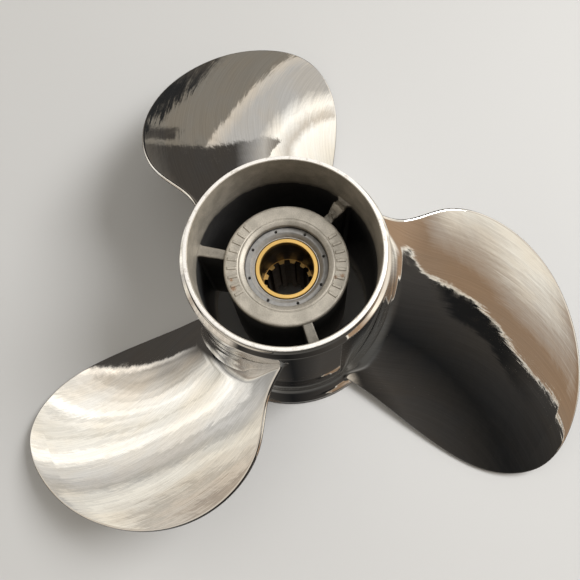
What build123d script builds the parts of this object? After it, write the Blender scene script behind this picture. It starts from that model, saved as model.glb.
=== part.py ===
"""Three-blade right-hand outboard propeller with through-hub exhaust and a rubber-cushioned drive sleeve.

Millimetres. +Z runs along the shaft axis towards the gearcase (the front end). The origin is on the
axis, in the front seating face of the drive sleeve. Blade 1 stands along +X, and the webs that carry
the inner hub stand half way between the blade roots.
"""
from build123d import *
from math import atan2, cos, degrees, hypot, pi, radians, sin, sqrt
import os

# ---- driving dimensions -------------------------------------------------------------------------
# Size of the propeller
DIAMETER = 282.6          # 11 1/8 inch over the blade tips
PITCH = 330.2             # 13 inch advance for each turn
BLADES = 3
SECTOR = 360 / BLADES

# Outer barrel: exhaust tube that carries the blades
LIP_Z = 23.6              # front end of the whole propeller
LIP_R = 38.1              # thin front lip that nests in the gearcase skirt
LIP_ROOT_R = 38.6
SHOULDER_Z = 19.4
SHOULDER_R = 40.3
SHOULDER_CHAMFER = 0.7
BARREL_BORE_R = 36.3
BARREL_REAR_Z = -60.5
BARREL_REAR_R = 41.8

# Diffuser ring: flared skirt behind the blades
RING_REAR_Z = -69.0
RING_REAR_R = 47.8
RING_REAR_BORE_R = 45.6
RING_LAND = 1.2
RING_BORE_START = (0.3, -1)   # direction in which the inner flare leaves the barrel bore

# Inner hub: cast tube that holds the rubber damper
HUB_FACE_Z = 5.0
HUB_FRONT_R = 25.2
HUB_REAR_Z = -58.0
HUB_REAR_R = 26.3
HUB_EDGE_ROUND = 1.2
HUB_MOUTH_R = 16.8        # front opening, smaller than the damper behind it
HUB_MOUTH_DEPTH = 5.0
HUB_BORE_R = 19.6
HUB_BEVEL_R = 18.6        # shallow bevel from the face down to the mouth
HUB_BEVEL_DROP = 0.8

# Raised dashes cast on the hub face
DASH_R = 21.9
DASH_LENGTH = 3.6
DASH_WIDTH = 1.2
DASH_HEIGHT = 0.45
DASH_SINK = 0.3
DASH_STEP = 9.5
DASH_ARCS = ((147.0, 9), (-23.0, 8))     # first angle and number of dashes in each arc

# Webs between inner hub and barrel
WEB_ANGLE = 60.0
WEB_FRONT_Z = 3.6
WEB_REAR_Z = -50.0
WEB_WIDTH_HUB = 4.1
WEB_WIDTH_BARREL = 4.6

# Rubber damper
DAMPER_FACE_Z = 1.6
DAMPER_LAND_R = 15.0      # the face is dished inside this radius
DAMPER_DISH = 2.0
DAMPER_REAR_Z = -56.0
PIN_HOLES = 8
PIN_HOLE_CIRCLE_R = 15.6
PIN_HOLE_R = 0.55
PIN_HOLE_DEPTH = 4.0
PIN_HOLE_ANGLE = 27.7

# Bond tube and drive sleeve turn together inside the damper
CLEARANCE = 0.05
BOND_R = 13.3
BOND_FRONT_Z = -0.3
BOND_REAR_Z = -56.5
BOND_BEVEL = 0.45
SLEEVE_R = 12.65
SLEEVE_REAR_Z = -60.0
SLEEVE_EDGE_CHAMFER = 0.15
PILOT_BORE_R = 11.0
PILOT_BORE_DEPTH = 22.4
SPLINE_BORE_R = 10.8      # bottom of the spaces between the teeth
TEETH = 13
TOOTH_ANGLE = 35.7
TOOTH_TIP_R = 9.3
TOOTH_ROOT_WIDTH = 2.9
TOOTH_TIP_WIDTH = 1.9
TOOTH_SINK = 0.3

# Blades
ROOT_Z = -27.05           # height of the blade's middle line where it leaves the barrel
ROOT_R = 40.0
RAKE = 0.2117             # how far the blade leans back for each millimetre of radius
RAKE_CURVE = 0.000609
ROOT_THICKNESS = 8.0
TIP_THICKNESS = 2.4
EDGE_THICKNESS = 1.6
FILLET_R = 6.0
LEADING_EDGE = ((39.3, 43.6), (50.2, 34.0), (70.9, 32.7), (95.0, 25.3), (115.0, 14.1), (130.1, 1.7))
TRAILING_EDGE = ((138.7, -22.8), (123.3, -29.2), (100.1, -33.0), (70.6, -35.9), (39.0, -43.0))
TIP = (140.2, -11.9)
FULL_CHORD = 60.0         # shorter chords, near the tip, are flatter
STATIONS = (22, 26, 30, 34, 38, 42, 46, 51, 58, 68, 80, 93, 106, 118, 128, 136, 143)
BLANK_SIDES = (-68.0, 48.0)   # the blade is cut from a twisted blank this wide
CHORD_POINTS = 19
BLANK_BOTTOM = -110
BLANK_HEIGHT = 200


def polar(radius, angle):
    return (radius * cos(radians(angle)), radius * sin(radians(angle)))


def tooth_corners(angle):
    """Corners of one spline tooth, whose middle line lies at the given angle."""
    root_r = SPLINE_BORE_R + TOOTH_SINK
    upright = (
        (TOOTH_TIP_R, -TOOTH_TIP_WIDTH / 2),
        (root_r, -TOOTH_ROOT_WIDTH / 2),
        (root_r, TOOTH_ROOT_WIDTH / 2),
        (TOOTH_TIP_R, TOOTH_TIP_WIDTH / 2),
    )
    return [polar(hypot(x, y), angle + degrees(atan2(y, x))) for x, y in upright]


def ring_outer_flare():
    """Outside of the diffuser ring, curving out from the barrel wall to the ring's rim."""
    TangentArc(
        (BARREL_REAR_R, BARREL_REAR_Z),
        (RING_REAR_R, RING_REAR_Z + RING_LAND),
        tangent=(0, -1),
    )


# ---- outer barrel -------------------------------------------------------------------------------
with BuildPart() as outer_barrel:
    with BuildSketch(Plane.XZ):
        with BuildLine():
            Polyline(
                (BARREL_BORE_R, BARREL_REAR_Z),
                (BARREL_REAR_R, BARREL_REAR_Z),
                (SHOULDER_R, SHOULDER_Z - SHOULDER_CHAMFER),
                (SHOULDER_R - SHOULDER_CHAMFER, SHOULDER_Z),
                (LIP_ROOT_R, SHOULDER_Z),
                (LIP_R, SHOULDER_Z + (LIP_ROOT_R - LIP_R)),
                (LIP_R, LIP_Z),
                (BARREL_BORE_R, LIP_Z),
                close=True,
            )
        make_face()
    revolve(axis=Axis.Z)
    front_edges = outer_barrel.edges().filter_by(GeomType.CIRCLE).group_by(Axis.Z)[-1]
    chamfer(front_edges, length=0.3)
outer_barrel.part.label = "outer_barrel"

# ---- diffuser ring ------------------------------------------------------------------------------
with BuildPart() as diffuser_ring:
    with BuildSketch(Plane.XZ):
        with BuildLine():
            Line((BARREL_BORE_R, BARREL_REAR_Z), (BARREL_REAR_R, BARREL_REAR_Z))
            ring_outer_flare()
            Polyline(
                (RING_REAR_R, RING_REAR_Z + RING_LAND),
                (RING_REAR_R, RING_REAR_Z),
                (RING_REAR_BORE_R, RING_REAR_Z),
            )
            TangentArc(
                (BARREL_BORE_R, BARREL_REAR_Z),
                (RING_REAR_BORE_R, RING_REAR_Z),
                tangent=RING_BORE_START,
            )
        make_face()
    revolve(axis=Axis.Z)
diffuser_ring.part.label = "diffuser_ring"

# ---- inner hub ----------------------------------------------------------------------------------
with BuildPart() as inner_hub:
    with BuildSketch(Plane.XZ):
        with BuildLine():
            Polyline(
                (HUB_BORE_R, HUB_REAR_Z),
                (HUB_REAR_R, HUB_REAR_Z),
                (HUB_FRONT_R, HUB_FACE_Z),
                (HUB_BEVEL_R, HUB_FACE_Z),
                (HUB_MOUTH_R, HUB_FACE_Z - HUB_BEVEL_DROP),
                (HUB_MOUTH_R, HUB_FACE_Z - HUB_MOUTH_DEPTH),
                (HUB_BORE_R, HUB_FACE_Z - HUB_MOUTH_DEPTH),
                close=True,
            )
        make_face()
    revolve(axis=Axis.Z)
    rim = inner_hub.edges().filter_by(GeomType.CIRCLE).group_by(Axis.Z)[-1].sort_by(SortBy.RADIUS)[-1]
    fillet(rim, radius=HUB_EDGE_ROUND)
    for first_angle, count in DASH_ARCS:
        with BuildSketch(Plane.XY.offset(HUB_FACE_Z - DASH_SINK)):
            for index in range(count):
                angle = first_angle + index * DASH_STEP
                with Locations(Location(polar(DASH_R, angle), angle)):
                    Rectangle(DASH_LENGTH, DASH_WIDTH)
        extrude(amount=DASH_SINK + DASH_HEIGHT)
inner_hub.part.label = "inner_hub"


# ---- webs ---------------------------------------------------------------------------------------
def make_web(number):
    """A drafted plate from the inner hub to the barrel, cut to both round walls."""
    with BuildPart() as web:
        with BuildSketch(Plane.XY.offset(WEB_REAR_Z).rotated((0, 0, WEB_ANGLE + (number - 1) * SECTOR))):
            with BuildLine():
                Polyline(
                    (HUB_BORE_R, -WEB_WIDTH_HUB / 2),
                    (SHOULDER_R, -WEB_WIDTH_BARREL / 2),
                    (SHOULDER_R, WEB_WIDTH_BARREL / 2),
                    (HUB_BORE_R, WEB_WIDTH_HUB / 2),
                    close=True,
                )
            make_face()
        extrude(amount=WEB_FRONT_Z - WEB_REAR_Z)
        with BuildSketch(Plane.XY.offset(WEB_REAR_Z)):
            Circle(BARREL_BORE_R)
        extrude(amount=WEB_FRONT_Z - WEB_REAR_Z, mode=Mode.INTERSECT)
        with BuildSketch(Plane.XZ):
            with BuildLine():
                Polyline(
                    (0, HUB_REAR_Z),
                    (HUB_REAR_R, HUB_REAR_Z),
                    (HUB_FRONT_R, HUB_FACE_Z),
                    (0, HUB_FACE_Z),
                    close=True,
                )
            make_face()
        revolve(axis=Axis.Z, mode=Mode.SUBTRACT)
    web.part.label = f"web_{number}"
    return web


webs = [make_web(number) for number in range(1, BLADES + 1)]

# ---- rubber damper ------------------------------------------------------------------------------
with BuildPart() as rubber_damper:
    with BuildSketch(Plane.XZ):
        with BuildLine():
            Polyline(
                (BOND_R + CLEARANCE, DAMPER_REAR_Z),
                (HUB_BORE_R, DAMPER_REAR_Z),
                (HUB_BORE_R, HUB_FACE_Z - HUB_MOUTH_DEPTH),
                (HUB_MOUTH_R, HUB_FACE_Z - HUB_MOUTH_DEPTH),
                (HUB_MOUTH_R, DAMPER_FACE_Z),
                (DAMPER_LAND_R, DAMPER_FACE_Z),
                (BOND_R + CLEARANCE, DAMPER_FACE_Z - DAMPER_DISH),
                close=True,
            )
        make_face()
    revolve(axis=Axis.Z)
    with BuildSketch(Plane.XY.offset(DAMPER_FACE_Z)):
        with PolarLocations(PIN_HOLE_CIRCLE_R, PIN_HOLES, start_angle=PIN_HOLE_ANGLE):
            Circle(PIN_HOLE_R)
    extrude(amount=-PIN_HOLE_DEPTH, mode=Mode.SUBTRACT)
rubber_damper.part.label = "rubber_damper"

# ---- bond tube: thin steel tube inside the damper -----------------------------------------------
with BuildPart() as bond_tube:
    with BuildSketch(Plane.XZ):
        with BuildLine():
            Polyline(
                (SLEEVE_R, BOND_REAR_Z),
                (BOND_R, BOND_REAR_Z),
                (BOND_R, BOND_FRONT_Z),
                (SLEEVE_R + BOND_BEVEL, BOND_FRONT_Z),
                (SLEEVE_R, BOND_FRONT_Z - 3 * BOND_BEVEL),
                close=True,
            )
        make_face()
    revolve(axis=Axis.Z)
bond_tube.part.label = "bond_tube"

# ---- drive sleeve: smooth pilot bore in front, internal spline behind ---------------------------
with BuildPart() as drive_sleeve:
    with BuildSketch(Plane.XY.offset(SLEEVE_REAR_Z)):
        Circle(SLEEVE_R)
        Circle(SPLINE_BORE_R, mode=Mode.SUBTRACT)
    extrude(amount=-SLEEVE_REAR_Z)
    with BuildSketch():
        Circle(PILOT_BORE_R)
    extrude(amount=-PILOT_BORE_DEPTH, mode=Mode.SUBTRACT)
    rims = drive_sleeve.edges().filter_by(GeomType.CIRCLE).group_by(Axis.Z)
    chamfer(rims[-1] + rims[0], length=SLEEVE_EDGE_CHAMFER)
    with BuildSketch(Plane.XY.offset(SLEEVE_REAR_Z + SLEEVE_EDGE_CHAMFER)):
        for index in range(TEETH):
            with BuildLine():
                Polyline(*tooth_corners(TOOTH_ANGLE + index * 360 / TEETH), close=True)
            make_face()
    extrude(amount=-SLEEVE_REAR_Z - PILOT_BORE_DEPTH - SLEEVE_EDGE_CHAMFER)
drive_sleeve.part.label = "drive_sleeve"


# ---- blades -------------------------------------------------------------------------------------
with BuildLine(mode=Mode.PRIVATE) as blade_outline:
    edge_curve = Spline([polar(*place) for place in (*LEADING_EDGE, TIP, *TRAILING_EDGE)])


def chord_at(x):
    """Y of the trailing and the leading edge where the outline crosses the given X."""
    tip_u = max(range(1, 400), key=lambda step: (edge_curve @ (step / 400)).X) / 400
    x = min(x, (edge_curve @ tip_u).X - 0.3)

    def crossing(start, stop):
        for _ in range(30):
            middle = (start + stop) / 2
            if (edge_curve @ middle).X < x:
                start = middle
            else:
                stop = middle
        return (edge_curve @ start).Y

    return crossing(1, tip_u), crossing(0, tip_u)


def surface_height(x, y):
    """Height of the blade's middle surface: a screw of constant pitch, raked back."""
    radius = hypot(x, y)
    turn = degrees(atan2(y, x)) / 360
    reach = radius - ROOT_R
    return ROOT_Z + PITCH * turn - RAKE * reach + RAKE_CURVE * reach ** 2


def upright_half_thickness(x, y, trailing, leading):
    """Half of the thickness measured along Z, thicker at mid chord and at the root fillet."""
    radius = hypot(x, y)
    chord = leading - trailing
    along = min(1, max(0, (y - trailing) / chord))
    crown = sin(pi * along) ** 2 * min(1, chord / FULL_CHORD)
    span = min(1, max(0, (radius - ROOT_R) / (DIAMETER / 2 - ROOT_R)))
    thickest = ROOT_THICKNESS + (TIP_THICKNESS - ROOT_THICKNESS) * span
    above_barrel = max(0, radius - BARREL_REAR_R)
    fillet_gap = max(0, FILLET_R - above_barrel)
    swell = FILLET_R - sqrt(FILLET_R ** 2 - fillet_gap ** 2)
    thickness = EDGE_THICKNESS + (thickest - EDGE_THICKNESS + 2 * swell) * crown
    slope = PITCH / (2 * pi * radius)
    return thickness / 2 * sqrt(1 + slope ** 2)


def section_points(x, side):
    """Points across the chord on one face of the blade blank."""
    trailing, leading = chord_at(x)
    first, last = BLANK_SIDES
    points = []
    for index in range(CHORD_POINTS):
        y = first + (last - first) * index / (CHORD_POINTS - 1)
        half = upright_half_thickness(x, y, trailing, leading)
        points.append((y, surface_height(x, y) + side * half))
    return points


with BuildPart() as blade:
    for station in STATIONS:
        with BuildSketch(Plane(origin=(station, 0, 0), x_dir=(0, 1, 0), z_dir=(1, 0, 0))):
            with BuildLine():
                upper = section_points(station, 1)
                lower = section_points(station, -1)
                Spline(upper)
                Line(upper[-1], lower[-1])
                Spline(lower)
                Line(lower[0], upper[0])
            make_face()
    loft()
    with BuildSketch(Plane.XY.offset(BLANK_BOTTOM)):
        with BuildLine():
            add(edge_curve)
            Line(edge_curve @ 1, edge_curve @ 0)
        make_face()
    extrude(amount=BLANK_HEIGHT, mode=Mode.INTERSECT)
    with BuildSketch(Plane.XZ):
        with BuildLine():
            ring_outer_flare()
            Polyline(
                (RING_REAR_R, RING_REAR_Z + RING_LAND),
                (RING_REAR_R, BLANK_BOTTOM),
                (0, BLANK_BOTTOM),
                (0, LIP_Z),
                (SHOULDER_R, LIP_Z),
                (SHOULDER_R, SHOULDER_Z - SHOULDER_CHAMFER),
                (BARREL_REAR_R, BARREL_REAR_Z),
            )
        make_face()
    revolve(axis=Axis.Z, mode=Mode.SUBTRACT)

# ---- write the pieces ---------------------------------------------------------------------------
os.makedirs("parts", exist_ok=True)
for piece in (outer_barrel, diffuser_ring, inner_hub, *webs, rubber_damper, bond_tube, drive_sleeve):
    export_step(piece.part, f"parts/{piece.part.label}.step")
for number in range(1, BLADES + 1):
    turned = blade.part.rotate(Axis.Z, (number - 1) * SECTOR)
    turned.label = f"blade_{number}"
    export_step(turned, f"parts/{turned.label}.step")
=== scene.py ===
"""Looks of the outboard propeller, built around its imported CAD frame."""
import math
from types import SimpleNamespace

import bpy
import numpy as np
from mathutils import Matrix, Vector


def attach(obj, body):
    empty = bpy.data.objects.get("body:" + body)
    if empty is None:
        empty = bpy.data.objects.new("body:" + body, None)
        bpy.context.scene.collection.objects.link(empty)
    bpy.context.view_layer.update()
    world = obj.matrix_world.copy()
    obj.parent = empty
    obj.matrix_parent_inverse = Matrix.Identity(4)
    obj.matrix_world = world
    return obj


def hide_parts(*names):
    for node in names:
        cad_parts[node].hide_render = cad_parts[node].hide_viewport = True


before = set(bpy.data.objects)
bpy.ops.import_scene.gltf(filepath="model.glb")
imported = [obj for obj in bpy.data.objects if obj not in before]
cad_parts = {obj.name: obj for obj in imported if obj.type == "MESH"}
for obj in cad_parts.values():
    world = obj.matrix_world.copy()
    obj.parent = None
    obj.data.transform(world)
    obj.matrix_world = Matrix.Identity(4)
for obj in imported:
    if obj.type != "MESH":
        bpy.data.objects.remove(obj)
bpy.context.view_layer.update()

# ---- sizes, in millimetres, in the frame of the CAD model ---------------------------------------
MM = 0.001
TURN = 2 * math.pi
PITCH = 330.2
TIP_R = 141.3
SECTOR = 120.0
POLISHED_SHARP = 35.0     # edges sharper than this angle stay crisp
CAST_SHARP = 50.0
BARREL_SEGMENTS = 512
HUB_SEGMENTS = 1440

LIP_Z = 23.6
LIP_R = 38.1
LIP_ROOT_R = 38.6
LIP_TAPER = 1.2           # length over which the lip narrows from its root
SHOULDER_Z = 19.4
SHOULDER_R = 40.3
SHOULDER_SLOPE = 1.4      # the polished shoulder slopes back by this much across its width
BORE_R = 36.3
BARREL_REAR_Z = -60.5
BARREL_REAR_R = 41.8
RIM_Z = -67.8
RIM_R = 47.8
RING_REAR_Z = -69.0
RIM_BORE_R = 45.6

HUB_FACE_Z = 5.0
HUB_R = 25.2
HUB_REAR_Z = -58.0
HUB_REAR_R = 26.3
HUB_BEVEL_R = 18.6
HUB_BEVEL_DROP = 0.8
HUB_MOUTH_R = 16.8
HUB_BORE_R = 19.6

# ---- blade: the CAD model's shape with finer root fillets ---------------------------------------
ROOT_Z = -27.05
ROOT_R = 40.0
RAKE = 0.2117
RAKE_CURVE = 0.000609
ROOT_THICKNESS = 8.0
TIP_THICKNESS = 2.4
EDGE_THICKNESS = 1.6
FULL_CHORD = 60.0
# The outline as (radius, degrees) from the front root corner over the tip to the rear root corner.
# The front root corner is drawn in by about 1.6 mm, to meet the barrel without a flare.
OUTLINE = (
    (39.3, 41.2), (50.2, 34.0), (70.9, 32.7), (95.0, 25.3), (115.0, 14.1), (130.1, 1.7), (140.2, -11.9),
    (138.7, -22.8), (123.3, -29.2), (100.1, -33.0), (70.6, -35.9), (39.0, -43.0),
)
INSIDE_CAD = 0.9995       # keeps the finished edge just inside the outline of the CAD blade
FACE_FILLET = 8.0         # root fillet on the blade's two faces
FRONT_FILLET = 1.6        # at the leading end of the blade's root
REAR_FILLET = 1.5         # at the trailing end, over the diffuser ring
FILLET_REACH = 16.0       # distance from the edge at which the root fillet has its full size
FILLET_RINGS = 30
ROOT_DEPTH = 1.2          # how far the root goes on into the barrel wall
BARREL_REACH = 22.0       # height above the barrel up to which the blade follows the barrel's taper
SPAN_RINGS = 190
CHORD_CELLS = 110
BLADE_OFFSET = 137.0      # moves the finish's pattern on from blade to blade


def smooth_curve(points, samples):
    """Points along the cubic spline through the given points, by chord length."""
    points = np.array(points, float)
    knots = np.r_[0, np.cumsum(np.linalg.norm(np.diff(points, axis=0), axis=1))]
    gap = np.diff(knots)
    slope = np.diff(points, axis=0) / gap[:, None]
    count = len(points)
    matrix = np.eye(count)
    right = np.zeros_like(points)
    for i in range(1, count - 1):
        matrix[i, i - 1:i + 2] = gap[i - 1], 2 * (gap[i - 1] + gap[i]), gap[i]
        right[i] = 6 * (slope[i] - slope[i - 1])
    bend = np.linalg.solve(matrix, right)
    place = np.linspace(0, knots[-1], samples)
    i = np.clip(np.searchsorted(knots, place) - 1, 0, count - 2)
    left, rest, width = place - knots[i], knots[i + 1] - place, gap[i]
    left, rest, width = left[:, None], rest[:, None], width[:, None]
    return (
        (bend[i] * rest ** 3 + bend[i + 1] * left ** 3) / (6 * width)
        + (points[i] / width - bend[i] * width / 6) * rest
        + (points[i + 1] / width - bend[i + 1] * width / 6) * left
    )


def middle_height(radius, angle):
    """Height of the blade's middle surface; angle in radians."""
    reach = radius - ROOT_R
    return ROOT_Z + PITCH * angle / TURN - RAKE * reach + RAKE_CURVE * reach ** 2


def barrel_radius(z):
    """Outside radius of the barrel and of the flare behind it."""
    rise = (z - BARREL_REAR_Z) / (SHOULDER_Z - BARREL_REAR_Z)
    wall = BARREL_REAR_R + (SHOULDER_R - BARREL_REAR_R) * rise
    out, down = RIM_R - BARREL_REAR_R, BARREL_REAR_Z - RIM_Z
    bend_r = (out ** 2 + down ** 2) / (2 * out)
    drop = np.clip(BARREL_REAR_Z - z, 0, down)
    return np.where(drop > 0, BARREL_REAR_R + bend_r - np.sqrt(bend_r ** 2 - drop ** 2), wall)


def smoothstep(value):
    """0 to 1 with a soft start and end, as value goes from 0 to 1."""
    value = np.clip(value, 0, 1)
    return value * value * (3 - 2 * value)


def make_object(name, points, faces, sharp_angle):
    """A smooth-shaded mesh object from points in millimetres, with its sharper edges left crisp."""
    mesh = bpy.data.meshes.new(name)
    mesh.from_pydata((np.asarray(points) * MM).tolist(), [], [list(map(int, face)) for face in faces])
    mesh.validate()
    mesh.shade_smooth()
    mesh.set_sharp_from_angle(angle=math.radians(sharp_angle))
    piece = bpy.data.objects.new(name, mesh)
    bpy.context.scene.collection.objects.link(piece)
    return piece


def gap_to_edge(points, edge):
    """Distance from each point to the blade's edge curve."""
    runs = np.diff(edge, axis=0)
    nearest = ((points[:, None] - edge[None]) ** 2).sum(2).argmin(1)
    gap = np.full(len(points), np.inf)
    for shift in (-1, 0):
        i = np.clip(nearest + shift, 0, len(runs) - 1)
        share = np.clip(((points - edge[i]) * runs[i]).sum(1) / (runs[i] ** 2).sum(1), 0, 1)
        gap = np.minimum(gap, np.linalg.norm(points - edge[i] - runs[i] * share[:, None], axis=1))
    return gap


def blade_points():
    """Loops of points round the blade, one loop for each ring from root to tip, and their uv."""
    outline = smooth_curve([polar(*place) for place in OUTLINE], 1600) * INSIDE_CAD
    reach = np.hypot(*outline.T)
    swing = np.unwrap(np.arctan2(outline[:, 1], outline[:, 0]))
    tip = int(reach.argmax())
    edge = np.c_[outline, middle_height(reach, swing)]
    quarter = np.linspace(0, math.pi / 2, FILLET_RINGS)
    fillet_radii = ROOT_R + FACE_FILLET * (1 - np.cos(quarter))
    sweep = np.sin(np.linspace(0, math.pi / 2, SPAN_RINGS + 1))[1:]
    radii = np.r_[fillet_radii, fillet_radii[-1] + (reach[tip] - fillet_radii[-1]) * sweep]
    along = (1 - np.cos(np.linspace(0, math.pi, CHORD_CELLS + 1))) / 2
    loops, places = [], []
    for radius in radii:
        lead = np.interp(radius, reach[:tip + 1], swing[:tip + 1])
        trail = np.interp(-radius, -reach[tip:], swing[tip:])
        angle = trail + (lead - trail) * along
        height = middle_height(radius, angle)
        middle = np.c_[radius * np.cos(angle), radius * np.sin(angle), height]
        gap = gap_to_edge(middle, edge)
        nose = EDGE_THICKNESS / 2
        chord = radius * (lead - trail)
        span = np.clip((radius - ROOT_R) / (TIP_R - ROOT_R), 0, 1)
        thickest = ROOT_THICKNESS + (TIP_THICKNESS - ROOT_THICKNESS) * span
        crown = np.sin(math.pi * along) ** 2 * min(1, chord / FULL_CHORD)
        half = nose * np.sqrt(1 - (1 - np.clip(gap / nose, 0, 1)) ** 2)
        half = half + (thickest - EDGE_THICKNESS) / 2 * crown
        tilt = math.atan(PITCH / TURN / radius)
        flat = np.c_[radius * angle, height]
        out = np.array([-math.sin(tilt), math.cos(tilt)])
        loop = np.r_[flat + half[:, None] * out, (flat - half[:, None] * out)[-2:0:-1]]
        share = np.r_[along, along[-2:0:-1]]
        above = radius - ROOT_R
        fillet = REAR_FILLET + (FRONT_FILLET - REAR_FILLET) * share
        fillet += (FACE_FILLET - fillet) * smoothstep(np.r_[gap, gap[-2:0:-1]] / FILLET_REACH)
        short = np.clip(fillet - above, 0, fillet)
        swell = fillet - np.sqrt(fillet ** 2 - short ** 2)
        if swell.max() > 0:
            run = np.roll(loop, -1, 0) - np.roll(loop, 1, 0)
            normal = np.c_[-run[:, 1], run[:, 0]] / np.linalg.norm(run, axis=1)[:, None]
            loop = loop + normal * swell[:, None]
        fade = 1 - smoothstep(above / BARREL_REACH)
        true_radius = radius + (barrel_radius(loop[:, 1]) - ROOT_R) * fade
        turn = loop[:, 0] / radius
        loops.append(np.c_[true_radius * np.cos(turn), true_radius * np.sin(turn), loop[:, 1]])
        places.append(np.c_[(share - 0.5) * chord, np.full(len(share), radius)])
    sunk = loops[0] * [1 - ROOT_DEPTH / ROOT_R, 1 - ROOT_DEPTH / ROOT_R, 1]
    return np.array([sunk, *loops]), np.array([places[0], *places])


def polar(radius, angle):
    """X and Y of a point given by its radius and its angle in degrees."""
    return (radius * math.cos(math.radians(angle)), radius * math.sin(math.radians(angle)))


def turned(points, angle):
    """Points turned about the shaft axis by an angle in degrees."""
    c, s = math.cos(math.radians(angle)), math.sin(math.radians(angle))
    return points @ np.array([[c, s, 0], [-s, c, 0], [0, 0, 1]])


def tube_faces(rings, around):
    """Quads between closed rings of points."""
    base = np.arange(rings - 1)[:, None] * around
    here = base + np.arange(around)
    there = base + (np.arange(around) + 1) % around
    return np.stack([here, there, there + around, here + around], -1).reshape(-1, 4)


def make_blade(number, loops, places):
    """Tube of quads from the root loop to the tip point, closed at the root by a ladder of quads."""
    rings, around = loops.shape[:2]
    points = loops[:-1].reshape(-1, 3)
    tip = loops[-1].mean(0)
    faces = [list(face)[::-1] for face in tube_faces(rings - 1, around)]
    last = (rings - 2) * around
    faces += [[last + around, last + (i + 1) % around, last + i] for i in range(around)]
    cells = around // 2
    faces.append([0, 1, around - 1])
    faces += [[i, i + 1, around - i - 1, around - i] for i in range(1, cells - 1)]
    faces.append([cells - 1, cells, cells + 1])
    points = turned(np.r_[points, [tip]], (number - 1) * SECTOR)
    piece = make_object(f"blade_{number}_polished", points, faces, POLISHED_SHARP)
    spots = np.r_[places[:-1].reshape(-1, 2), [places[-1].mean(0)]] + [number * BLADE_OFFSET, 0]
    corners = np.zeros(len(piece.data.loops), int)
    piece.data.loops.foreach_get("vertex_index", corners)
    piece.data.uv_layers.new(name="UVMap").data.foreach_set("uv", spots[corners].astype(np.float32).ravel())
    return piece


def rounded(profile):
    """Corner points (r, z, rounding) of a closed profile, with each rounding drawn as a small curve."""
    drawn = []
    count = len(profile)
    for i, (r, z, rounding) in enumerate(profile):
        corner = np.array([r, z], float)
        if not rounding:
            drawn.append(corner)
            continue
        before = np.array(profile[i - 1][:2], float) - corner
        after = np.array(profile[(i + 1) % count][:2], float) - corner
        start = corner + before / np.linalg.norm(before) * rounding
        stop = corner + after / np.linalg.norm(after) * rounding
        for t in np.linspace(0, 1, 6):
            drawn.append((1 - t) ** 2 * start + 2 * t * (1 - t) * corner + t ** 2 * stop)
    return np.array(drawn)


def lathe_points(profile, segments):
    """A ring of points about the shaft axis for each (r, z) of a profile."""
    angle = np.linspace(0, TURN, segments, endpoint=False)
    return np.array([np.c_[r * np.cos(angle), r * np.sin(angle), np.full(segments, z)] for r, z in profile])


def closed_rings(name, rings, sharp_angle):
    """A solid of revolution from the rings of a closed profile that runs forwards on its outside."""
    count, segments = rings.shape[:2]
    faces = tube_faces(count + 1, segments) % (count * segments)
    return make_object(name, rings.reshape(-1, 3), faces, sharp_angle)


def make_barrel():
    """Polished outside, ground on the lip's front face and cast inside."""
    profile = rounded([
        (BORE_R, BARREL_REAR_Z, 0), (BARREL_REAR_R, BARREL_REAR_Z, 0),
        (SHOULDER_R, SHOULDER_Z - SHOULDER_SLOPE, 0.6), (LIP_ROOT_R, SHOULDER_Z, 0.3),
        (LIP_R, SHOULDER_Z + LIP_TAPER, 0.4), (LIP_R, LIP_Z, 0.4), (BORE_R, LIP_Z, 0.4),
    ])
    piece = closed_rings("outer_barrel_polished", lathe_points(profile, BARREL_SEGMENTS), POLISHED_SHARP)
    for face in piece.data.polygons:
        x, y, z = face.center / MM
        if math.hypot(x, y) < BORE_R + 0.35:
            face.material_index = 2
        elif z > LIP_Z - 0.5:
            face.material_index = 1
    return piece


def arc_out(start, stop, lean, steps=36):
    """An arc from start to stop whose first direction leans out from straight down by the given slope."""
    start, stop = np.array(start, float), np.array(stop, float)
    direction = np.array([lean, -1.0]) / math.hypot(lean, 1)
    normal = np.array([-direction[1], direction[0]])
    chord = stop - start
    radius = chord @ chord / (2 * chord @ normal)
    centre = start + normal * radius
    first = math.atan2(*(start - centre)[::-1])
    last = math.atan2(*(stop - centre)[::-1])
    if last - first > math.pi:
        last -= TURN
    if first - last > math.pi:
        last += TURN
    swing = np.linspace(first, last, steps)
    return [tuple(point) for point in centre + radius * np.c_[np.cos(swing), np.sin(swing)]]


def make_ring():
    """Diffuser ring: polished outside, cast inside, on curves that leave the barrel smoothly."""
    outer = arc_out((BARREL_REAR_R, BARREL_REAR_Z), (RIM_R, RIM_Z), 0.0)
    inner = arc_out((BORE_R, BARREL_REAR_Z), (RIM_BORE_R, RING_REAR_Z), 0.3)
    profile = [(r, z, 0) for r, z in outer[:-1]]
    profile += [(RIM_R, RIM_Z, 0.5), (RIM_R, RING_REAR_Z, 0.4), (RIM_BORE_R, RING_REAR_Z, 0.3)]
    profile += [(r, z, 0) for r, z in inner[-2::-1]]
    rings = lathe_points(rounded(profile)[::-1], BARREL_SEGMENTS)
    piece = closed_rings("diffuser_ring_polished", rings, POLISHED_SHARP)
    for face in piece.data.polygons:
        if face.normal.x * face.center.x + face.normal.y * face.center.y < 0:
            face.material_index = 1
    return piece


# ---- hub, webs and damper -----------------------------------------------------------------------
DASH_R = 21.9             # radius of the middle of each raised dash
DASH_LENGTH = 3.6
DASH_WIDTH = 1.2
DASH_HEIGHT = 0.45
DASH_STEP = 9.5
DASH_ARCS = ((147.0, 9), (-23.0, 8))     # first angle and number of dashes in each arc
DASH_FLANK = 0.28         # width of the soft cast flank of a dash
GROOVE_R = 19.35          # shallow turned groove round the mouth of the hub
GROOVE_WIDTH = 0.32
GROOVE_DEPTH = 0.18

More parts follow.
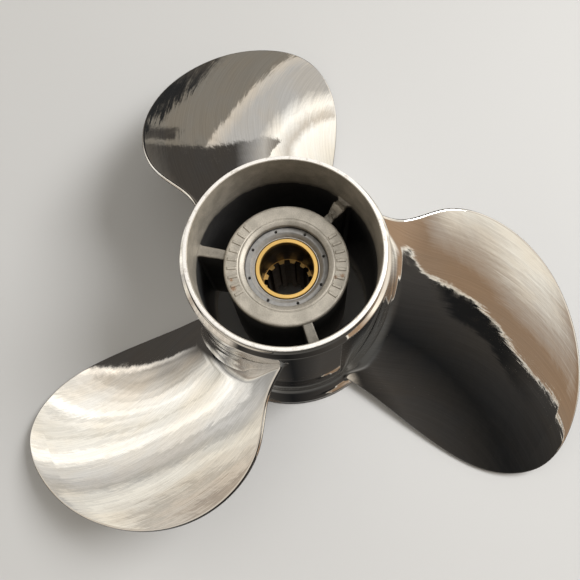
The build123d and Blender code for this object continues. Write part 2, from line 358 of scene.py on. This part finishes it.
WEB_ANGLE = 60.0
WEB_FRONT_Z = 3.6
WEB_REAR_Z = -50.0
WEB_WIDTH_HUB = 4.1
WEB_WIDTH_BARREL = 4.6
WEB_ROUND = 0.55
WEB_STATIONS = 44
WEB_FOOT = 0.14           # share of the web's length, at the barrel, over which it widens

DAMPER_FACE_Z = 1.6
DAMPER_LAND_R = 15.0
DAMPER_DISH = 2.0
DAMPER_REAR_Z = -56.0
DAMPER_BORE_R = 13.35
PIN_HOLES = 8
PIN_HOLE_CIRCLE_R = 15.6
PIN_HOLE_R = 0.55
PIN_HOLE_DEPTH = 3.0
PIN_HOLE_ANGLE = 27.7


def dash_height(x, y):
    """How far the hub face stands up at a point, for all the raised dashes."""
    height = np.zeros_like(x)
    for first, count in DASH_ARCS:
        for index in range(count):
            angle = math.radians(first + index * DASH_STEP)
            along = x * math.cos(angle) + y * math.sin(angle) - DASH_R
            across = y * math.cos(angle) - x * math.sin(angle)
            outside = np.maximum(np.abs(along) - DASH_LENGTH / 2, np.abs(across) - DASH_WIDTH / 2)
            height = np.maximum(height, DASH_HEIGHT * smoothstep(0.5 - outside / DASH_FLANK))
    return height


def make_hub():
    """Hub with raised dashes on its finely divided face and a groove round its mouth."""
    face = [(r, HUB_FACE_Z, 0) for r in np.arange(HUB_R - 1.3, HUB_BEVEL_R + 0.3, -0.13)]
    profile = rounded([
        (HUB_BORE_R, HUB_REAR_Z, 0.4), (HUB_REAR_R, HUB_REAR_Z, 0.6), (HUB_R, HUB_FACE_Z, 1.2), *face,
        (HUB_BEVEL_R, HUB_FACE_Z, 0.25), (HUB_MOUTH_R, HUB_FACE_Z - HUB_BEVEL_DROP, 0.5),
        (HUB_MOUTH_R, 0, 0), (HUB_BORE_R, 0, 0),
    ])
    rings = lathe_points(profile, HUB_SEGMENTS)
    on_face = np.abs(rings[..., 2] - HUB_FACE_Z) < 0.01
    radius = np.hypot(rings[..., 0], rings[..., 1])
    groove = GROOVE_DEPTH * smoothstep(1.5 - np.abs(radius - GROOVE_R) / GROOVE_WIDTH * 1.5)
    rings[..., 2] += np.where(on_face, dash_height(rings[..., 0], rings[..., 1]) - groove, 0)
    return closed_rings("inner_hub_cast", rings, CAST_SHARP)


def hub_radius(z):
    """Outside radius of the hub."""
    rise = (z - HUB_REAR_Z) / (HUB_FACE_Z - HUB_REAR_Z)
    return HUB_REAR_R + (HUB_R - HUB_REAR_R) * rise


def web_section(half_width, front):
    """Points (y, z) round a web: across its front with rounded corners, down one side, up the other."""
    corner = np.linspace(0, math.pi / 2, 7)
    side_y = half_width - WEB_ROUND + WEB_ROUND * np.sin(corner)
    side_z = front - WEB_ROUND + WEB_ROUND * np.cos(corner)
    flat = np.linspace(-(half_width - WEB_ROUND), half_width - WEB_ROUND, 9)[1:-1]
    down = np.linspace(front - WEB_ROUND, WEB_REAR_Z, 12)[1:]
    right = np.r_[np.c_[side_y, side_z], np.c_[np.full(11, half_width), down]]
    left = right[::-1] * [-1, 1]
    return np.r_[np.c_[flat, np.full(7, front)], right, left]


def make_web(number):
    """A web with rounded front corners; web 1 also keeps the rough stub of its casting gate."""
    rng = np.random.default_rng(number)
    gate = number == 1
    loops = []
    for t in np.linspace(0, 1, WEB_STATIONS):
        half = (WEB_WIDTH_HUB + (WEB_WIDTH_BARREL - WEB_WIDTH_HUB) * t) / 2
        front = WEB_FRONT_Z
        foot = max(0, t - (1 - WEB_FOOT)) / WEB_FOOT
        half += 0.5 * foot ** 2
        if gate:
            half += 1.1 * foot ** 2 - 0.35 * math.exp(-((t - 0.22) / 0.12) ** 2)
            half += 0.45 * math.exp(-((t - 0.62) / 0.17) ** 2)
            front += 1.5 * math.exp(-((t - 0.64) / 0.16) ** 2) + 0.7 * foot
        section = web_section(half, front)
        y, z = section.T
        inner = np.sqrt(hub_radius(z.clip(HUB_REAR_Z, HUB_FACE_Z)) ** 2 - y ** 2) - 0.05
        outer = np.sqrt((BORE_R + 0.05) ** 2 - y ** 2)
        loop = np.c_[inner + (outer - inner) * t, y, z]
        if gate:
            rough = np.clip((z - (WEB_FRONT_Z - 1.2)) / 1.2, 0, 1) * np.clip(8 * t * (1 - t), 0, 1)
            loop[:, 1:] += rng.normal(0, 0.13, (len(loop), 2)) * rough[:, None]
        loops.append(loop)
    loops = np.array(loops)
    stations, around = loops.shape[:2]
    faces = [list(face)[::-1] for face in tube_faces(stations, around)]
    faces.append(list(range(around)))
    faces.append([(stations - 1) * around + i for i in range(around)][::-1])
    points = turned(loops.reshape(-1, 3), WEB_ANGLE + (number - 1) * SECTOR)
    return make_object(f"web_{number}_cast", points, faces, CAST_SHARP)


def make_damper():
    """Rubber damper with a softly dished face and a ring of small pin holes."""
    fine = [(r, DAMPER_FACE_Z, 0) for r in np.arange(16.35, DAMPER_LAND_R - 0.2, -0.07)]
    profile = rounded([
        (DAMPER_BORE_R, DAMPER_REAR_Z, 0.5), (HUB_BORE_R, DAMPER_REAR_Z, 0.5), (HUB_BORE_R, 0, 0),
        (HUB_MOUTH_R, 0, 0), (HUB_MOUTH_R, DAMPER_FACE_Z, 0.3), *fine,
        (DAMPER_LAND_R - 0.3, DAMPER_FACE_Z - 0.1, 0.3), (DAMPER_BORE_R, DAMPER_FACE_Z - DAMPER_DISH, 0),
    ])
    rings = lathe_points(profile, HUB_SEGMENTS)
    x, y, z = np.moveaxis(rings, -1, 0)
    for index in range(PIN_HOLES):
        hole_x, hole_y = polar(PIN_HOLE_CIRCLE_R, PIN_HOLE_ANGLE + index * 360 / PIN_HOLES)
        gap = np.hypot(x - hole_x, y - hole_y)
        depth = PIN_HOLE_DEPTH * smoothstep(0.5 + (PIN_HOLE_R - gap) / 0.16)
        z -= np.where(z > DAMPER_FACE_Z - 0.5, depth, 0)
    return closed_rings("rubber_damper_moulded", rings, CAST_SHARP)


# ---- material tools -----------------------------------------------------------------------------
def put(tree, kind, inputs=None, **settings):
    """A node with its settings and inputs; an input is a value or another node's output."""
    made = tree.nodes.new(kind)
    for key, value in settings.items():
        setattr(made, key, value)
    for key, value in (inputs or {}).items():
        if isinstance(value, bpy.types.NodeSocket):
            tree.links.new(value, made.inputs[key])
        else:
            made.inputs[key].default_value = value
    return made


def calc(tree, operation, *values):
    """The result of a Math node."""
    return put(tree, "ShaderNodeMath", dict(enumerate(values)), operation=operation).outputs[0]


def step(tree, value, low, high):
    """0 below low, 1 above high, smooth between; low may be above high."""
    inputs = {"Value": value, "From Min": low, "From Max": high, "To Min": 0.0, "To Max": 1.0}
    return put(tree, "ShaderNodeMapRange", inputs, interpolation_type="SMOOTHSTEP").outputs[0]


def spread(tree, value, low, high, new_low, new_high):
    """The range low to high mapped evenly to the new range and held at its ends."""
    inputs = {"Value": value, "From Min": low, "From Max": high, "To Min": new_low, "To Max": new_high}
    return put(tree, "ShaderNodeMapRange", inputs).outputs[0]


def blend(tree, factor, first, second):
    """A colour between two colours."""
    made = put(tree, "ShaderNodeMix", {0: factor, 6: first, 7: second}, data_type="RGBA")
    return made.outputs[2]


def tinted(tree, colour, tint):
    """A colour multiplied by another."""
    inputs = {0: 1.0, 6: colour, 7: tint}
    return put(tree, "ShaderNodeMix", inputs, data_type="RGBA", blend_type="MULTIPLY").outputs[2]


def scaled(tree, colour, factor):
    """A colour made brighter or darker."""
    return put(tree, "ShaderNodeVectorMath", {0: colour, "Scale": factor}, operation="SCALE").outputs[0]


def rgb(red, green, blue):
    return (red, green, blue, 1.0)


def stretched(tree, vector, scale, **noise):
    """Noise on coordinates multiplied by the three given scales."""
    placed = put(tree, "ShaderNodeVectorMath", {0: vector, 1: scale}, operation="MULTIPLY").outputs[0]
    inputs = {"Vector": placed, "Scale": 1.0, "Detail": noise.get("detail", 3.0)}
    inputs["Roughness"] = noise.get("roughness", 0.55)
    inputs["Distortion"] = noise.get("distortion", 0.0)
    return put(tree, "ShaderNodeTexNoise", inputs).outputs["Fac"]


def bumped(tree, layers, strength=1.0):
    """A bump normal from (height, distance in millimetres) layers, one on top of the other.

    The strength, from 0 to 1, fades all layers together.
    """
    normal = None
    for height, distance in layers:
        inputs = {"Strength": strength, "Distance": distance * MM, "Height": height}
        if normal:
            inputs["Normal"] = normal
        normal = put(tree, "ShaderNodeBump", inputs).outputs[0]
    return normal


def new_material(name, inputs):
    """A material whose shader takes the values that inputs(tree) gives."""
    material = bpy.data.materials.new(name)
    material.use_nodes = True
    tree = material.node_tree
    shader = tree.nodes["Principled BSDF"]
    for key, value in inputs(tree).items():
        if isinstance(value, bpy.types.NodeSocket):
            tree.links.new(value, shader.inputs[key])
        else:
            shader.inputs[key].default_value = value
    return material


def object_mm(tree):
    """Object coordinates in millimetres."""
    place = put(tree, "ShaderNodeTexCoord").outputs["Object"]
    return put(tree, "ShaderNodeVectorMath", {0: place, 1: (1 / MM,) * 3}, operation="MULTIPLY").outputs[0]


def axis_distance(tree, place):
    """Distance from the shaft axis."""
    flat = put(tree, "ShaderNodeVectorMath", {0: place, 1: (1, 1, 0)}, operation="MULTIPLY").outputs[0]
    return put(tree, "ShaderNodeVectorMath", {0: flat}, operation="LENGTH").outputs["Value"]


def height_of(tree, place):
    return put(tree, "ShaderNodeSeparateXYZ", {0: place}).outputs[2]


def turning_mm(tree):
    """Coordinates for marks that run round the shaft axis: across the marks, then x and y."""
    place = object_mm(tree)
    x, y, z = put(tree, "ShaderNodeSeparateXYZ", {0: place}).outputs
    across = calc(tree, "SUBTRACT", axis_distance(tree, place), z)
    return put(tree, "ShaderNodeCombineXYZ", {0: across, 1: x, 2: y}).outputs[0]


# ---- materials ----------------------------------------------------------------------------------
CALM_R = 42.0             # up to this radius the root fillets, blended with small wheels, are smoothest
ROUGH_R = 58.0            # from this radius on the bump has its full strength


def hand_polished(tree, vector, strength=1.0):
    """Stainless steel polished by hand: long soft waves, ripples, fine wheel lines, satin patches."""
    waves = stretched(tree, vector, (0.11, 0.016, 0.016), detail=2.0, distortion=0.3)
    ripples = stretched(tree, vector, (0.42, 0.045, 0.045), detail=2.0, distortion=0.8)
    scallops = stretched(tree, vector, (0.22, 0.17, 0.17), detail=2.5, roughness=0.5)
    lines = stretched(tree, vector, (2.0, 0.028, 0.028), detail=5.0, roughness=0.7, distortion=0.15)
    grain = stretched(tree, vector, (2.4, 2.4, 2.4), detail=3.0, roughness=0.6)
    tint = stretched(tree, vector, (0.07, 0.03, 0.03), detail=3.0, roughness=0.6)
    colour = blend(tree, step(tree, lines, 0.30, 0.72), rgb(0.82, 0.81, 0.79), rgb(0.94, 0.93, 0.91))
    warm = blend(tree, step(tree, tint, 0.35, 0.65), rgb(0.98, 0.96, 0.935), rgb(0.96, 0.975, 1.0))
    colour = tinted(tree, colour, warm)
    satin = step(tree, scallops, 0.50, 0.72)
    line_roughness = spread(tree, lines, 0.2, 0.8, 0, 0.04)
    roughness = calc(tree, "ADD", spread(tree, satin, 0, 1, 0.02, 0.07), line_roughness)
    layers = [
        (waves, 0.06 * strength), (ripples, 0.014 * strength), (scallops, 0.028 * strength),
        (lines, 0.0006), (grain, 0.0012 * strength),
    ]
    radius = axis_distance(tree, object_mm(tree))
    calm = spread(tree, step(tree, radius, CALM_R, ROUGH_R), 0, 1, 0.3, 1.0)
    normal = bumped(tree, layers, calm)
    return {"Base Color": colour, "Metallic": 1.0, "Roughness": roughness, "Normal": normal}


def blade_finish(tree):
    """Polished along the blade's chord and span, which its UV map holds in millimetres."""
    return hand_polished(tree, put(tree, "ShaderNodeUVMap", uv_map="UVMap").outputs[0])


def barrel_finish(tree):
    """Polished like the blades, but turned, so its waves are shallow."""
    return hand_polished(tree, turning_mm(tree), 0.25)


RUST_STAINS = (           # centre and radius of each stain on the hub's face
    ((-18.6, -13.5, 5.0), 1.6),
    ((-20.2, -10.2, 5.0), 1.0),
    ((22.6, -0.6, 5.0), 1.3),
    ((20.2, -1.6, 5.0), 1.0),
)
PAINTED_SHADE_FRONT_Z = 2.8       # the painted shade inside the exhaust passages starts just behind the front edges of the webs
PAINTED_SHADE_REAR_Z = -46.0
RECESS_PAINTED_SHADE = 0.60          # below the hub's face the casting skin is darkened by this factor: painted shade on the webs and in the recesses


def cast_finish(tree):
    """Blasted casting skin with a few rust stains, darkened below the hub's face and nearly black inside
    the exhaust passages: both darkenings are painted shade.
    """
    place = object_mm(tree)
    height = height_of(tree, place)
    grain = stretched(tree, place, (2.6, 2.6, 2.6), detail=5.0, roughness=0.7)
    clouds = stretched(tree, place, (0.16, 0.16, 0.16), detail=4.0)
    skin = blend(tree, step(tree, clouds, 0.35, 0.65), rgb(0.44, 0.405, 0.345), rgb(0.57, 0.525, 0.45))
    speckle = blend(tree, step(tree, grain, 0.35, 0.65), rgb(0.72, 0.72, 0.72), rgb(1, 1, 1))
    skin = tinted(tree, skin, speckle)
    for centre, size in RUST_STAINS:
        gap = put(tree, "ShaderNodeVectorMath", {0: place, 1: centre}, operation="DISTANCE")
        gap = gap.outputs["Value"]
        gap = calc(tree, "ADD", gap, spread(tree, grain, 0.3, 0.7, -0.8, 0.8))
        rust = calc(tree, "MULTIPLY", step(tree, gap, size, 0.2 * size), 0.75)
        skin = blend(tree, rust, skin, rgb(0.26, 0.12, 0.045))
    # Painted shade: nearly black inside the exhaust passages, between the webs' front edges and the rear.
    edge = calc(tree, "ADD", height, spread(tree, clouds, 0.3, 0.7, -0.7, 0.7))
    front = step(tree, edge, PAINTED_SHADE_FRONT_Z - 0.5, PAINTED_SHADE_FRONT_Z + 0.5)
    rear = step(tree, edge, PAINTED_SHADE_REAR_Z, PAINTED_SHADE_REAR_Z - 8.0)
    unshaded = calc(tree, "MAXIMUM", front, rear)
    # Painted shade: the skin gets darker from the hub's face down to the webs' front edges, and stays so
    # below.
    skin = scaled(tree, skin, spread(tree, height, WEB_FRONT_Z, HUB_FACE_Z, RECESS_PAINTED_SHADE, 1.0))
    # The colour of the painted shade in the passages.
    dark = blend(tree, clouds, rgb(0.022, 0.022, 0.024), rgb(0.06, 0.058, 0.055))
    return {
        "Base Color": blend(tree, unshaded, dark, skin),
        "Metallic": spread(tree, unshaded, 0, 1, 0.2, 0.5),
        "Roughness": spread(tree, grain, 0.3, 0.7, 0.42, 0.6),
        "Normal": bumped(tree, [(clouds, 0.20), (grain, 0.045)]),
    }


def ground_finish(tree):
    """The lip's front face, ground flat: matt pale steel with a fine grain."""
    place = object_mm(tree)
    grain = stretched(tree, place, (3.0, 3.0, 3.0), detail=4.0, roughness=0.65)
    wear = stretched(tree, place, (0.35, 0.35, 0.35), detail=4.0)
    colour = blend(tree, step(tree, grain, 0.3, 0.7), rgb(0.82, 0.79, 0.75), rgb(0.97, 0.945, 0.91))
    colour = blend(tree, step(tree, wear, 0.56, 0.70), colour, rgb(0.66, 0.62, 0.56))
    return {
        "Base Color": colour,
        "Metallic": 0.2,
        "Roughness": spread(tree, wear, 0.3, 0.7, 0.38, 0.52),
        "Normal": bumped(tree, [(grain, 0.03)]),
    }


def machined_finish(tree):
    """Turned steel with fine rings round the axis."""
    vector = turning_mm(tree)
    rings = stretched(tree, vector, (5.0, 0.02, 0.02), detail=3.0, roughness=0.7)
    wear = stretched(tree, vector, (0.5, 0.12, 0.12), detail=4.0)
    colour = blend(tree, step(tree, rings, 0.3, 0.7), rgb(0.55, 0.53, 0.50), rgb(0.86, 0.84, 0.80))
    colour = blend(tree, step(tree, wear, 0.56, 0.70), colour, rgb(0.50, 0.46, 0.40))
    return {
        "Base Color": colour,
        "Metallic": 1.0,
        "Roughness": spread(tree, wear, 0.3, 0.7, 0.28, 0.46),
        "Normal": bumped(tree, [(rings, 0.03)]),
    }


def rubber_finish(tree):
    """Grey rubber with a film of dust and a fine moulded grain."""
    place = object_mm(tree)
    dust = stretched(tree, place, (0.5, 0.5, 0.5), detail=5.0, roughness=0.65)
    grain = stretched(tree, place, (3.2, 3.2, 3.2), detail=3.0)
    dusty = step(tree, dust, 0.3, 0.7)
    return {
        "Base Color": blend(tree, dusty, rgb(0.25, 0.245, 0.235), rgb(0.34, 0.33, 0.315)),
        "Roughness": spread(tree, dust, 0.3, 0.7, 0.42, 0.62),
        "Normal": bumped(tree, [(dust, 0.03), (grain, 0.012)]),
    }


PILOT_DEPTH = 22.4        # the spline's teeth start this far down the bore; their front faces there get painted light


def brass_finish(tree):
    """Turned brass, bright on its front face, with painted shade down the bore and painted light on the
    front faces of the spline's teeth.
    """
    vector = turning_mm(tree)
    height = height_of(tree, object_mm(tree))
    rings = stretched(tree, vector, (6.0, 0.03, 0.03), detail=3.0, roughness=0.7)
    clouds = stretched(tree, vector, (0.35, 0.2, 0.2), detail=4.0)
    bright = blend(tree, step(tree, rings, 0.3, 0.7), rgb(0.70, 0.43, 0.12), rgb(0.88, 0.61, 0.23))
    # Painted shade: the bore is painted dark below the front face.
    bore_painted_shade = blend(tree, clouds, rgb(0.06, 0.036, 0.015), rgb(0.14, 0.086, 0.035))
    # Painted light: the teeth's front faces, at this depth, get the front face's bright brass.
    painted_lit_tooth_fronts = step(tree, calc(tree, "ABSOLUTE", calc(tree, "ADD", height, PILOT_DEPTH)), 0.35, 0.2)
    front = step(tree, height, -4.0, -0.3)
    return {
        "Base Color": blend(tree, calc(tree, "MAXIMUM", front, painted_lit_tooth_fronts), bore_painted_shade, bright),
        "Metallic": spread(tree, painted_lit_tooth_fronts, 0, 1, 1.0, 0.5),
        "Roughness": spread(tree, clouds, 0.3, 0.7, 0.30, 0.46),
        "Normal": bumped(tree, [(rings, 0.02)]),
    }


def floor_finish(tree):
    """Plain pale paint."""
    place = put(tree, "ShaderNodeTexCoord").outputs["Object"]
    clouds = put(tree, "ShaderNodeTexNoise", {"Vector": place, "Scale": 3.0, "Detail": 2.0}).outputs["Fac"]
    return {
        "Base Color": blend(tree, clouds, rgb(0.56, 0.56, 0.555), rgb(0.60, 0.60, 0.595)),
        "Roughness": 0.65,
    }


# ---- camera, light and floor --------------------------------------------------------------------
LENS = 40.67
CAMERA_DISTANCE = 242.6
CAMERA_POLAR = 18.87      # angle between the shaft axis and the line to the camera
CAMERA_BEARING = 17.7     # turn of the camera's foot point about the shaft axis, from straight in front
CAMERA_PAN = -0.05
CAMERA_TILT = -3.57
CAMERA_ROLL = 6.91


def place_camera():
    data = bpy.data.cameras.new("camera")
    camera = bpy.data.objects.new("camera", data)
    bpy.context.scene.collection.objects.link(camera)
    data.lens = LENS
    data.sensor_width = 36
    data.clip_start = 0.01
    data.clip_end = 20
    bearing = Matrix.Rotation(math.radians(CAMERA_BEARING), 3, "Z")
    lean = math.radians(CAMERA_POLAR)
    offset = bearing @ Vector((0, -math.sin(lean), math.cos(lean))) * CAMERA_DISTANCE
    forward = -offset.normalized()
    right = bearing @ Vector((1, 0, 0))
    up = right.cross(forward)
    pan = Matrix.Rotation(math.radians(CAMERA_PAN), 3, up)
    aim = pan @ Matrix.Rotation(math.radians(CAMERA_TILT), 3, right)
    forward, right, up = aim @ forward, aim @ right, aim @ up
    roll = Matrix.Rotation(math.radians(CAMERA_ROLL), 3, forward)
    right, up = roll @ right, roll @ up
    axes = Matrix((right, up, -forward)).transposed().to_4x4()
    camera.matrix_world = Matrix.Translation((offset + Vector((0, 0, LIP_Z))) * MM) @ axes
    bpy.context.scene.camera = camera


def area_light(name, place, target, size, power, colour=(1, 1, 1)):
    data = bpy.data.lights.new(name, "AREA")
    data.shape = "RECTANGLE"
    data.size, data.size_y = size
    data.energy = power
    data.color = colour
    light = bpy.data.objects.new(name, data)
    bpy.context.scene.collection.objects.link(light)
    light.location = place
    light.rotation_mode = "QUATERNION"
    light.rotation_quaternion = (Vector(target) - Vector(place)).to_track_quat("-Z", "Y")
    return light


FLOOR_HALF = 8.0          # half the floor's side, in metres


def make_floor():
    """A pale floor under the diffuser ring, so wide that its edges stay out of view."""
    mesh = bpy.data.meshes.new("floor")
    half = FLOOR_HALF
    z = RING_REAR_Z * MM
    corners = [(-half, -half, z), (half, -half, z), (half, half, z), (-half, half, z)]
    mesh.from_pydata(corners, [], [(0, 1, 2, 3)])
    floor = bpy.data.objects.new("floor", mesh)
    bpy.context.scene.collection.objects.link(floor)
    floor.data.materials.append(new_material("floor_paint", floor_finish))
    floor.visible_glossy = False     # the polished steel reflects the studio's walls, not the floor


# ---- studio surroundings ------------------------------------------------------------------------
STUDIO_STRENGTH = 1.2
# A few plain shades, and soft light walls as (place, shade) stops. A place is a compass direction in
# degrees, 0 along +X and 90 along +Y, and leans with height on the left, right and rear walls.
WHITE = (1.10, 1.05, 0.95)
CREAM = (0.80, 0.75, 0.65)
SAND = (0.60, 0.54, 0.46)
STONE = (0.45, 0.43, 0.40)
TAN = (0.40, 0.34, 0.28)
BROWN = (0.25, 0.17, 0.11)
UMBER = (0.20, 0.18, 0.15)
SOOT = (0.05, 0.045, 0.04)
BLACK = (0.01, 0.01, 0.01)
LEFT_WALL = (
    (140, STONE), (150, SAND), (160, WHITE), (167, CREAM), (174, WHITE), (185, STONE), (192, CREAM),
    (200, TAN), (208, SAND),
)
RIGHT_WALL = ((-39, CREAM), (-37.5, BROWN), (-28, BROWN), (-20, TAN), (-12, CREAM), (0, SAND))
REAR_WALL = (
    (25, SAND), (38, CREAM), (49, WHITE), (51, SAND), (55, WHITE), (60, STONE), (68, STONE), (73, SAND),
    (74, UMBER),
)
REAR_GROUND = ((58, UMBER), (63, STONE), (75, SOOT), (95, SOOT), (105, UMBER))
DARK_SIDE = ((-120, BLACK), (-105, SOOT), (-80, BLACK), (-45, SOOT))
LOW_WALL = (0.20, 0.195, 0.185)
GLOW = (0.075, 0.072, 0.066)
BEHIND_REAR_WALL = (0.02, 0.02, 0.02)
CEILING = (0.80, 0.78, 0.74)
BACKDROP = (0.55, 0.55, 0.55)

WAVE_SWING = 2.4          # the right wall's border swings by this much each way
WAVE_PERIOD = 18.0        # rise in height from one swing to the next
WAVE_START = 17.0
REAR_TWIST = 0.026        # how fast the rear wall's bands lean, away from the middle of the wall
REAR_MIDDLE = 61.0
REAR_MIDDLE_HEIGHT = 20.0


def colour_ramp(tree, value, stops):
    """A colour for each value, from (value, colour) stops in rising order."""
    low, high = stops[0][0], stops[-1][0]
    ramp = put(tree, "ShaderNodeValToRGB", {0: spread(tree, value, low, high, 0, 1)})
    elements = ramp.color_ramp.elements
    for index, (place, colour) in enumerate(stops):
        share = (place - low) / (high - low)
        element = elements[index] if index < 2 else elements.new(share)
        element.position = share
        element.color = rgb(*colour)
    return ramp.outputs[0]


def product(tree, *factors):
    total = factors[0]
    for factor in factors[1:]:
        total = calc(tree, "MULTIPLY", total, factor)
    return total


def less(tree, first, second):
    return calc(tree, "SUBTRACT", first, second)


def band(tree, value, start, full, fade, end):
    """1 from full to fade, 0 outside start and end, smooth between."""
    return product(tree, step(tree, value, start, full), step(tree, value, end, fade))


def sky_places(tree):
    """Compass direction and height in degrees of a direction, and its place along each leaning wall."""
    direction = put(tree, "ShaderNodeTexCoord").outputs["Generated"]
    x, y, z = put(tree, "ShaderNodeSeparateXYZ", {0: direction}).outputs
    compass = product(tree, calc(tree, "ARCTAN2", y, x), 360 / TURN)
    height = product(tree, calc(tree, "ARCSINE", z), 360 / TURN)
    around = calc(tree, "WRAP", compass, 360.0, 0.0)
    left = calc(tree, "ADD", around, spread(tree, height, 0, 40, -2, 14))
    right = calc(tree, "ADD", compass, spread(tree, height, 0, 40, -11, 11))
    swing = calc(tree, "COSINE", product(tree, less(tree, height, WAVE_START), TURN / WAVE_PERIOD))
    wavy = less(tree, right, product(tree, swing, WAVE_SWING))
    return SimpleNamespace(
        y=y, compass=compass, height=height, around=around, left=left, right=right, wavy=wavy,
    )


def dark_side(tree, sky):
    """The unlit side, with a black wedge, a low wall in front of the object and a glow beside it."""
    wedge = band(tree, sky.wavy, -52.5, -49, -38, -34)
    wedge = product(tree, wedge, band(tree, sky.height, 26, 30, 38, 46))
    low = band(tree, sky.compass, -140, -120, -100, -70)
    low = product(tree, low, band(tree, sky.height, -58, -38, -20, -4))
    glow = band(tree, sky.compass, -105, -80, -45, -20)
    glow = product(tree, glow, band(tree, sky.height, -60, -30, -25, 0))
    colour = colour_ramp(tree, sky.compass, DARK_SIDE)
    for share, shade in ((wedge, BLACK), (low, LOW_WALL), (glow, GLOW)):
        colour = blend(tree, share, colour, rgb(*shade))
    return colour


def add_left_wall(tree, sky, colour):
    """A bright wall with uneven slats, a white line along its edge, and less light at its foot."""
    sides = band(tree, sky.around, 143.8, 145.0, 236, 246)
    share = product(tree, sides, band(tree, sky.height, -34, -17, 46, 58))
    slats = put(tree, "ShaderNodeCombineXYZ", {0: sky.left, 1: product(tree, sky.height, 0.05)}).outputs[0]
    slats = stretched(tree, slats, (0.50, 0.50, 1.0), detail=3.0, roughness=0.6)
    slats = spread(tree, slats, 0.32, 0.68, 0.72, 1.22)
    edge_line = spread(tree, step(tree, sky.around, 147.0, 145.2), 0, 1, 1.0, 1.9)
    foot = spread(tree, step(tree, sky.height, -14, 2), 0, 1, 0.62, 1.0)
    lit = scaled(tree, colour_ramp(tree, sky.left, LEFT_WALL), product(tree, foot, slats, edge_line))
    return blend(tree, share, colour, lit)


def add_right_wall(tree, sky, colour):
    """A wall that starts at a wavy border line and is brighter low down."""
    sides = product(tree, step(tree, sky.wavy, -39.6, -38.8), step(tree, sky.right, 30, 24))
    share = product(tree, sides, band(tree, sky.height, -30, 5, 50, 62))
    near = spread(tree, sky.height, 12, 24, 1.35, 1.0)
    return blend(tree, share, colour, scaled(tree, colour_ramp(tree, sky.wavy, RIGHT_WALL), near))


def add_rear_ground(tree, sky, colour):
    """Dim ground in front of the rear wall."""
    share = product(tree, band(tree, sky.compass, 54, 57, 108, 116), step(tree, sky.height, -58, -40))
    return blend(tree, share, colour, colour_ramp(tree, sky.compass, REAR_GROUND))


def add_rear_wall(tree, sky, colour):
    """A wall that stands on a foot line and ends at a leaning edge, with a dark finger cut into it."""
    off_middle = less(tree, sky.right, REAR_MIDDLE)
    twist = product(tree, off_middle, less(tree, sky.height, REAR_MIDDLE_HEIGHT), REAR_TWIST)
    place = calc(tree, "ADD", sky.right, twist)
    foot = spread(tree, sky.right, 48.5, 50.5, -35, 8.5)
    foot = calc(tree, "ADD", foot, spread(tree, sky.right, 58, 61, 0, -1.6))
    foot = calc(tree, "ADD", foot, spread(tree, sky.right, 62, 84, 0, 1.6))
    above_foot = step(tree, less(tree, sky.height, foot), -0.5, 0.5)
    end = spread(tree, sky.height, 14, 24, 91.8, 87)
    end = calc(tree, "ADD", end, spread(tree, sky.height, 24, 34, 0, -9))
    before_end = step(tree, less(tree, sky.right, end), 0.4, -0.4)
    finger = product(tree, step(tree, sky.right, 86.8, 88.0), band(tree, sky.height, 9.4, 10.2, 12.2, 13.0))
    sides = product(tree, step(tree, sky.right, 24, 30), before_end, less(tree, 1.0, finger))
    share = product(tree, sides, above_foot, step(tree, sky.height, 62, 50))
    colour = blend(tree, share, colour, colour_ramp(tree, place, REAR_WALL))
    behind = product(
        tree, step(tree, sky.right, 88.5, 90), step(tree, sky.compass, 125, 112), above_foot,
        step(tree, before_end, 0.6, 0.4),
    )
    return blend(tree, behind, colour, rgb(*BEHIND_REAR_WALL))


def add_ceiling(tree, sky, colour):
    """A soft ceiling that comes down lower at the rear."""
    level = calc(tree, "ADD", sky.height, product(tree, sky.y, 16.0))
    return blend(tree, step(tree, level, 54, 72), colour, rgb(*CEILING))


def make_world():
    """Soft light walls left, right and behind the object, a soft ceiling, and dark between them."""
    world = bpy.data.worlds.new("studio")
    bpy.context.scene.world = world
    world.use_nodes = True
    tree = world.node_tree
    sky = sky_places(tree)
    colour = dark_side(tree, sky)
    for add_wall in (add_left_wall, add_right_wall, add_rear_ground, add_rear_wall, add_ceiling):
        colour = add_wall(tree, sky, colour)
    seen = put(tree, "ShaderNodeLightPath").outputs["Is Camera Ray"]
    colour = blend(tree, seen, colour, rgb(*BACKDROP))
    background = tree.nodes["Background"]
    tree.links.new(colour, background.inputs["Color"])
    background.inputs["Strength"].default_value = STUDIO_STRENGTH


# ---- assembly -----------------------------------------------------------------------------------
def show(piece, nodes, slot, *materials):
    for material in materials:
        piece.data.materials.append(material)
    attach(piece, "propeller")
    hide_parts(nodes)


blade_steel = new_material("blade_steel", blade_finish)
barrel_steel = new_material("barrel_steel", barrel_finish)
cast_steel = new_material("cast_steel", cast_finish)
ground_steel = new_material("ground_steel", ground_finish)
machined_steel = new_material("machined_steel", machined_finish)
rubber = new_material("damper_rubber", rubber_finish)
brass = new_material("sleeve_brass", brass_finish)

loops, places = blade_points()
for number in (1, 2, 3):
    show(make_blade(number, loops, places), f"blade_{number}", "polished_steel", blade_steel)
    show(make_web(number), f"web_{number}", "cast_steel", cast_steel)
show(make_barrel(), "outer_barrel", "polished_steel", barrel_steel, ground_steel, cast_steel)
show(make_ring(), "diffuser_ring", "polished_steel", barrel_steel, cast_steel)
show(make_hub(), "inner_hub", "cast_steel", cast_steel)
show(make_damper(), "rubber_damper", "rubber", rubber)
for node, material in (("bond_tube", machined_steel), ("drive_sleeve", brass)):
    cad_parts[node].data.materials.clear()
    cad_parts[node].data.materials.append(material)

make_floor()
make_world()
place_camera()
area_light("key", (0.80, 0.40, 1.0), (0, 0, 0), (0.6, 0.6), 17)
bpy.context.scene.view_settings.view_transform = "Standard"
